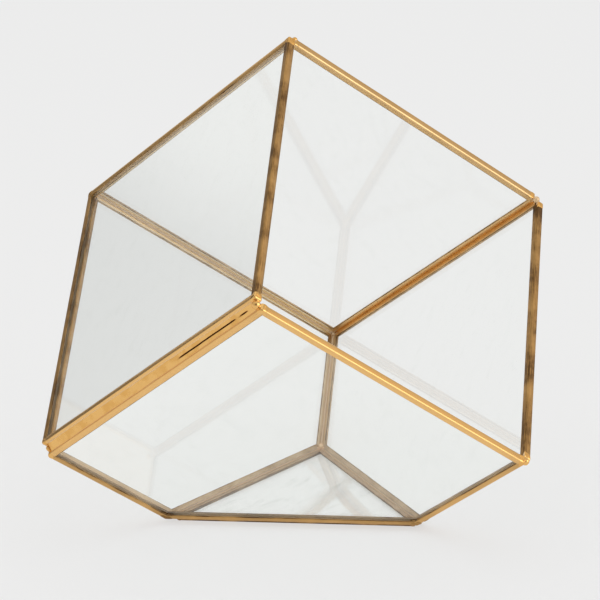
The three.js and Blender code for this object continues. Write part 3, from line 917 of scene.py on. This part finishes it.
def filletTree():
    # Sweeps a normalised profile, then works out each point's place: the profile's X is the way
    # round the free face, 0 on one web and 1 on the other, and its Y is -1 at the root.
    tree, sockets = newTree("solder fillet", {
        "Profile": "Object", "Length": "Float", "Stations": "Int", "Groove": "Float",
        "Leg": "Float", "Other Leg": "Float", "Throat": "Float", "Tuck": "Float",
        "Lumps": "Float", "Lump Length": "Float", "Open From": "Float", "Open To": "Float",
        "Nick From": "Float", "Nick To": "Float", "Seed": "Float", "Dust": "Float",
        "Material": "Material",
    })
    given = addNode(tree, "NodeGroupInput").outputs
    maths = "ShaderNodeMath"
    far = addNode(tree, "ShaderNodeCombineXYZ", {"Z": given["Length"]})
    line = addNode(tree, "GeometryNodeCurvePrimitiveLine", {"End": far})
    cut = addNode(tree, "GeometryNodeResampleCurve", {"Curve": line, "Count": given["Stations"]})
    profile = addNode(tree, "GeometryNodeObjectInfo", {"Object": given["Profile"]})
    swept = addNode(tree, "GeometryNodeCurveToMesh", {
        "Curve": cut, "Profile Curve": profile.outputs["Geometry"], "Fill Caps": True})
    place = addNode(tree, "GeometryNodeInputPosition")
    face, flag, run = addNode(tree, "ShaderNodeSeparateXYZ", {0: place}).outputs
    rest = addNode(tree, maths, {0: 1.0, 1: face}, operation="SUBTRACT")

    # how full the groove is here: lumpy, and cracked open along its middle in some stretches
    lumpRun = addNode(tree, maths, {0: run, 1: given["Lump Length"]}, operation="DIVIDE")
    lumpAt = addNode(tree, "ShaderNodeCombineXYZ", {"X": lumpRun, "Y": given["Seed"]})
    lumps = addNode(tree, "ShaderNodeTexNoise", {
        "Vector": lumpAt, "Scale": 1.0, "Detail": 3.0, "Roughness": 0.6})
    channels = addNode(tree, "ShaderNodeSeparateXYZ", {0: lumps.outputs["Color"]}).outputs
    smallest, largest = groove["lumpNoise"]
    sizes = []
    for label, channel in zip(("Leg", "Other Leg", "Throat"), channels, strict=True):
        swing = addNode(tree, "ShaderNodeMapRange", {
            "Value": channel, "From Min": smallest, "From Max": largest, "To Min": -1.0})
        scaled = addNode(tree, maths, {
            0: swing, 1: given["Lumps"], 2: 1.0}, operation="MULTIPLY_ADD")
        sizes.append(addNode(tree, maths, {0: given[label], 1: scaled}, operation="MULTIPLY"))
    leg, otherLeg, throat = sizes
    closing, shut = groove["crackEnds"]
    closed = 1.0
    for start, stop in (("Open From", "Open To"), ("Nick From", "Nick To")):
        before = addNode(tree, maths, {0: given[start], 1: run}, operation="SUBTRACT")
        after = addNode(tree, maths, {0: run, 1: given[stop]}, operation="SUBTRACT")
        outside = addNode(tree, maths, {0: before, 1: after}, operation="MAXIMUM")
        ramp = addNode(tree, "ShaderNodeMapRange", {
            "Value": outside, "From Min": closing, "From Max": shut},
            interpolation_type="SMOOTHSTEP")
        closed = addNode(tree, maths, {0: closed, 1: ramp}, operation="MULTIPLY")
    offMiddle = addNode(tree, maths, {0: face, 1: 0.5}, operation="SUBTRACT")
    fromMiddle = addNode(tree, maths, {0: offMiddle}, operation="ABSOLUTE")
    bottom, rim = groove["crackHalf"]
    split = addNode(tree, "ShaderNodeMapRange", {
        "Value": fromMiddle, "From Min": bottom, "From Max": rim, "To Min": 1.0, "To Max": 0.0})
    unfilled = addNode(tree, maths, {0: 1.0, 1: closed}, operation="SUBTRACT")
    crack = addNode(tree, maths, {0: split, 1: unfilled}, operation="MULTIPLY")
    sunk = addNode(tree, maths, {0: crack, 1: groove["crackDepth"]}, operation="MULTIPLY")

    # the free face is a quadratic curve from web to web
    twice = addNode(tree, maths, {0: face, 1: rest}, operation="MULTIPLY")
    middle = addNode(tree, maths, {0: twice, 1: 2.0}, operation="MULTIPLY")
    pulled = addNode(tree, maths, {0: middle, 1: throat}, operation="MULTIPLY")
    rest2 = addNode(tree, maths, {0: rest, 1: rest}, operation="MULTIPLY")
    face2 = addNode(tree, maths, {0: face, 1: face}, operation="MULTIPLY")
    up = addNode(tree, maths, {0: rest2, 1: leg, 2: pulled}, operation="MULTIPLY_ADD")
    over = addNode(tree, maths, {0: face2, 1: otherLeg, 2: pulled}, operation="MULTIPLY_ADD")
    # its rims and the root run on behind the brass
    atRoot = addNode(tree, maths, {0: flag, 1: -0.5}, operation="LESS_THAN")
    behind = addNode(tree, maths, {0: given["Tuck"], 1: -1.0}, operation="MULTIPLY")
    legs = []
    for value, base in ((up, face2), (over, rest2)):
        atRim = addNode(tree, maths, {0: base, 1: 8.0}, operation="POWER")
        tucked = addNode(tree, maths, {0: atRim, 1: given["Tuck"]}, operation="MULTIPLY")
        shy = addNode(tree, maths, {0: tucked, 1: sunk}, operation="ADD")
        free = addNode(tree, maths, {0: value, 1: shy}, operation="SUBTRACT")
        legs.append(addNode(tree, "ShaderNodeMix", {0: atRoot, 2: free, 3: behind}))
    a, b = legs
    cosine = addNode(tree, maths, {0: given["Groove"]}, operation="COSINE")
    sine = addNode(tree, maths, {0: given["Groove"]}, operation="SINE")
    x = addNode(tree, maths, {0: b, 1: cosine, 2: a}, operation="MULTIPLY_ADD")
    y = addNode(tree, maths, {0: b, 1: sine}, operation="MULTIPLY")
    final = addNode(tree, "ShaderNodeCombineXYZ", {"X": x, "Y": y, "Z": run})

    # the crack is painted dark, as painted shade, and dust covers what shows of the root on the
    # inside
    rootDust = addNode(tree, maths, {0: atRoot, 1: given["Dust"]}, operation="MULTIPLY")
    finished = swept
    for name, value in (("grime", crack), ("dust", rootDust)):
        finished = addNode(tree, "GeometryNodeStoreNamedAttribute", {
            "Geometry": finished, "Name": name, "Value": value})
    shaped = addNode(tree, "GeometryNodeSetPosition", {"Geometry": finished, "Position": final})
    real = addNode(tree, "GeometryNodeRealizeInstances", {0: shaped})
    coated = addNode(tree, "GeometryNodeSetMaterial", {
        "Geometry": real, "Material": given["Material"]})
    addNode(tree, "NodeGroupOutput", {0: coated})
    return tree, sockets


def makeFillets(solder):
    tree, sockets = filletTree()
    steps = groove["faceSteps"]
    freeFace = [(i / steps, 0.0) for i in range(steps + 1)]
    profile = makeOutline("fillet profile", [(0.5, -1.0)] + freeFace)
    count = 0
    for edgeName, (first, second) in sharedEdges().items():
        up, over = first["normal"], second["normal"]
        across = first["along"].cross(up)
        side = math.copysign(1.0, across.dot(over))
        direction = first["along"] * side
        start, end = (first["from"], first["to"]) if side > 0 else (first["to"], first["from"])
        length = (corners[end] - corners[start]).length
        angle = up.angle(over)
        toWebs = [(edge["lap"] - edging["standBack"]) / math.sin(angle)
                  for edge in (first, second)]
        legs = [min(groove["leg"], edging["width"] - edge["lap"] - groove["belowFlange"])
                for edge in (second, first)]
        cracks = groove["cracks"].get(edgeName, groove["noCracks"])
        if start != "mouth_left":
            cracks = tuple((length - stop, length - begin) for begin, stop in cracks)
        begin = groove["fromCorner"]
        values = {
            "Profile": profile,
            "Length": length - 2 * begin,
            "Stations": groove["stations"],
            "Groove": angle,
            "Leg": legs[0],
            "Other Leg": legs[1],
            "Throat": groove["throat"] * min(legs) / groove["leg"],
            "Tuck": groove["tuck"],
            "Lumps": groove["lumps"],
            "Lump Length": groove["lumpLength"],
            "Open From": cracks[0][0] - begin,
            "Open To": cracks[0][1] - begin,
            "Nick From": cracks[1][0] - begin,
            "Nick To": cracks[1][1] - begin,
            "Seed": float(count * 11 + 5),
            # no dust on its root where the strips' own groove is nearly clean
            "Dust": 0.0 if edgeName in wear["dusty"] else 1.0,
            "Material": solder,
        }
        origin = corners[start] + direction * begin + up * toWebs[1] + over * toWebs[0]
        placed = axesAt(origin, up, across * side, direction)
        name = f"fillet_{first['from']}_{first['to']}"
        mesh = meshFromTree(name, tree, sockets, values, placed, groove["sharpest"])
        piece = addObject(name, mesh)
        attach(piece, "root")
        seamNames = (f"seam_{first['from']}_{first['to']}", f"seam_{first['to']}_{first['from']}")
        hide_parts(next(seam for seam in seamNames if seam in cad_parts))
        count += 1
    bpy.data.objects.remove(profile)
    print("solder fillets:", count, "with", len(mesh.polygons), "faces each")


# Solder over the corners.

cornerSolder = {
    "reach": 6.0 * mm,       # how far its skin runs along each strip
    "skin": 0.12 * mm,       # its thickness over the strips near the corner
    "sunk": 0.14 * mm,       # how far it has dived into them at its ends
    "skinTo": (1.8 * mm, 4.6 * mm),  # where the skin starts to sink, and has sunk
    "filled": 0.7,           # how far it fills a pane's corner, as a share of the strip's depth,
    "filledTrimmed": 0.3,    # and where the pane's strips are trimmed
    "runSteps": 14,          # sections along each strip,
    "turnSteps": 6,          # and round the bend between them
    "voxel": 0.15 * mm,
    "smoothing": (0.6, 7),   # strength and rounds
    "ripple": (0.07 * mm, 1.5 * mm),         # height and length
    "hollows": (0.036 * mm, 0.108 * mm),     # flux and painted shade sit where smoothing filled so much
    "dust": 0.6,             # dust and a painted highlight, on what looks into the vessel,
    "dustFrom": (-0.1 * mm, 0.4 * mm),       # fading so far outside the panes' planes
    "floor": 0.02 * mm,      # nothing of it reaches lower
}

# At each corner: lumps of solder, each by how far it lies off the corner along the normals of the
# faces that meet there and by its radius, all in millimetres. Then how dark the solder has gone.
solderLumps = {
    "top": ((({"upper_left": 0.4, "upper_right": 0.4}, 1.1),
             ({"upper_right": 0.8, "mouth": 0.3}, 1.1)), 0.1),
    "mouth_left": ((({"upper_left": 1.2, "lower_left": 1.2, "mouth": -0.6}, 1.8),), 0.0),
    "mouth_right": ((({"upper_right": -1.1, "lower_right": -1.1, "mouth": 0.3}, 1.5),), 0.05),
    "mouth_front": ((({"lower_left": 0.9, "lower_right": 0.9, "mouth": -0.4}, 1.7),), 0.0),
    "back": ((({"upper_left": 0.5, "upper_right": 0.5, "back": 0.5}, 1.5),), 0.35),
    "left": ((({"upper_left": 0.6, "lower_left": 0.6, "back": 0.2}, 1.1),), 0.05),
    "right": ((({"upper_right": 0.2, "lower_right": 0.2, "back": 0.2}, 1.3),), 0.5),
    "foot_front": ((({"lower_left": 0.6, "lower_right": 0.6, "foot": 0.4}, 1.3),), 0.55),
    "foot_left": ((({"lower_left": 0.6, "back": 0.6, "foot": 0.4}, 1.3),), 0.75),
    "foot_right": ((({"lower_right": -0.3, "back": -0.3, "foot": -0.3}, 1.4),), 0.1),
}


def addHorn(build, paneName, corner):
    # One pane's corner as a solid: both strips' full section, from where the skin has dived into
    # one, round the bend, to where it dives into the other.
    edges = panes[paneName]["edges"]
    after = next(edge for edge in edges if edge["from"] == corner)
    before = next(edge for edge in edges if edge["to"] == corner)
    half = after["halfAngles"][0]
    bend = bendAt(corner, paneName)
    near, depth, width, fold = (edging[key] for key in ("standBack", "depth", "width", "fold"))
    bisector = (after["along"] - before["along"]).normalized()
    normal = after["normal"]
    start = after["start"]
    tangent = bend / math.tan(half)
    centre = start + bisector * ((bend + near) / math.sin(half))
    webCorner = start + bisector * (near / math.sin(half))
    filled = cornerSolder["filledTrimmed" if paneName in edging["trimmedPanes"] else "filled"]
    deepCorner = start + bisector * ((near + depth * filled) / math.sin(half))

    stations = []  # outer point, inward direction, distance from the corner
    steps = cornerSolder["runSteps"]
    runs = [tangent + (cornerSolder["reach"] - tangent) * i / steps for i in range(steps + 1)]
    for run in reversed(runs):
        outer = webCorner - before["along"] * run
        stations.append((outer, before["inward"], run))
    turn = math.pi - 2 * half
    steps = cornerSolder["turnSteps"]
    for i in range(1, steps):
        angle = turn * i / steps
        inward = (before["inward"] * math.sin(turn - angle)
                  + after["inward"] * math.sin(angle)) / math.sin(turn)
        inward.normalize()
        stations.append((centre - inward * bend, inward, 0.0))
    for run in runs:
        stations.append((webCorner + after["along"] * run, after["inward"], run))

    rings = []
    for outer, inward, run in stations:
        fade = smoothStep(run, *cornerSolder["skinTo"])
        puff = cornerSolder["skin"] * (1 - fade) - cornerSolder["sunk"] * fade
        reach = (outer - deepCorner).dot(-inward)
        reach = max(reach * (1 - fade), edging["sheet"])
        low, high = -puff, width + puff
        section = [(reach, low)]
        section += arcPoints(fold - puff, low + fold, fold, 270, 180, 4)
        section += arcPoints(fold - puff, high - fold, fold, 180, 90, 4)
        section += [(reach, high)]
        rings.append([build.verts.new(outer + inward * min(x, reach) + normal * y)
                      for x, y in section])
    for one, other in zip(rings, rings[1:]):
        for i in range(len(one)):
            j = (i + 1) % len(one)
            build.faces.new((one[i], one[j], other[j], other[i]))
    build.faces.new(rings[0][::-1])
    build.faces.new(rings[-1])


def meltTogether(build):
    # One skin over all that build holds, as it is and smoothed as molten solder smooths itself.
    rough = bpy.data.meshes.new("making")
    build.to_mesh(rough)
    build.free()
    holder = addObject("making", rough)
    remesh = holder.modifiers.new("melt", "REMESH")
    remesh.mode = "VOXEL"
    remesh.voxel_size = cornerSolder["voxel"]
    view = bpy.context.evaluated_depsgraph_get()
    melted = bpy.data.meshes.new_from_object(holder.evaluated_get(view))
    relax = holder.modifiers.new("relax", "SMOOTH")
    relax.factor, relax.iterations = cornerSolder["smoothing"]
    view = bpy.context.evaluated_depsgraph_get()
    smoothed = bpy.data.meshes.new_from_object(holder.evaluated_get(view))
    holder.modifiers.clear()
    bpy.data.objects.remove(holder)
    return melted, smoothed


def makeCorners(solder):
    faceNormals = {name: pane["normal"] for name, pane in panes.items()}
    faceNormals["mouth"] = -faceNormals["back"]
    amount, size = cornerSolder["ripple"]
    faceCounts = []
    for corner, point in corners.items():
        meeting = [paneName for paneName, outline in outlines.items() if corner in outline]
        build = bmesh.new()
        for paneName in meeting:
            addHorn(build, paneName, corner)
        lumps, darkened = solderLumps[corner]
        for offsets, radius in lumps:
            centre = point.copy()
            for face, distance in offsets.items():
                centre += faceNormals[face] * distance * mm
            bmesh.ops.create_icosphere(build, subdivisions=3, radius=radius * mm,
                                       matrix=Matrix.Translation(centre))
        bmesh.ops.recalc_face_normals(build, faces=build.faces[:])
        melted, mesh = meltTogether(build)

        grime, dust, places = [], [], []
        for vertex, before in zip(mesh.vertices, melted.vertices, strict=True):
            facing = vertex.normal
            filled = (vertex.co - before.co).dot(facing)
            # flux and painted shade in the hollows that smoothing filled
            grime.append(max(smoothStep(filled, *cornerSolder["hollows"]), darkened))
            # dust on the side that looks into the vessel, also a painted highlight for its bright
            # glints
            outermost = max(faceNormals[face].dot(vertex.co - point) for face in meeting)
            dusted = 1 - smoothStep(outermost, *cornerSolder["dustFrom"])
            dust.append(cornerSolder["dust"] * dusted)
            place = vertex.co + facing * noise.noise(vertex.co / size) * amount
            places += [place.x, place.y, max(place.z, cornerSolder["floor"])]
        mesh.vertices.foreach_set("co", places)
        bpy.data.meshes.remove(melted)
        for name, values in (("grime", grime), ("dust", dust)):
            mesh.attributes.new(name, "FLOAT", "POINT").data.foreach_set("value", values)
        mesh.name = f"corner_{corner}"
        mesh.materials.clear()
        mesh.materials.append(solder)
        mesh.shade_smooth()
        piece = addObject(mesh.name, mesh)
        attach(piece, "root")
        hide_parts(f"bead_{corner}")
        faceCounts.append(len(mesh.polygons))
    print("corner solder:", len(faceCounts), "with", faceCounts, "faces")


# Run.

setCamera()
setStage()
print("studio:", len(studio["patches"]), "patches of the room for shiny things to mirror")
brass = makeBrass()
solder = makeSolder()
clearGlass = makeGlass("soda-lime window glass", sodaLime["filmOnPanes"])
footGlass = makeGlass("water-stained window glass", sodaLime["filmOnFoot"])
print("finishes:", [finish.name for finish in (brass, solder, clearGlass, footGlass)])
makeEdging(brass)
makeFillets(solder)
makeCorners(solder)
for name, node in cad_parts.items():
    if name.startswith("glass_"):
        node.data.materials.clear()
        node.data.materials.append(footGlass if name == "glass_foot" else clearGlass)
print("glass panes:", len(panes))
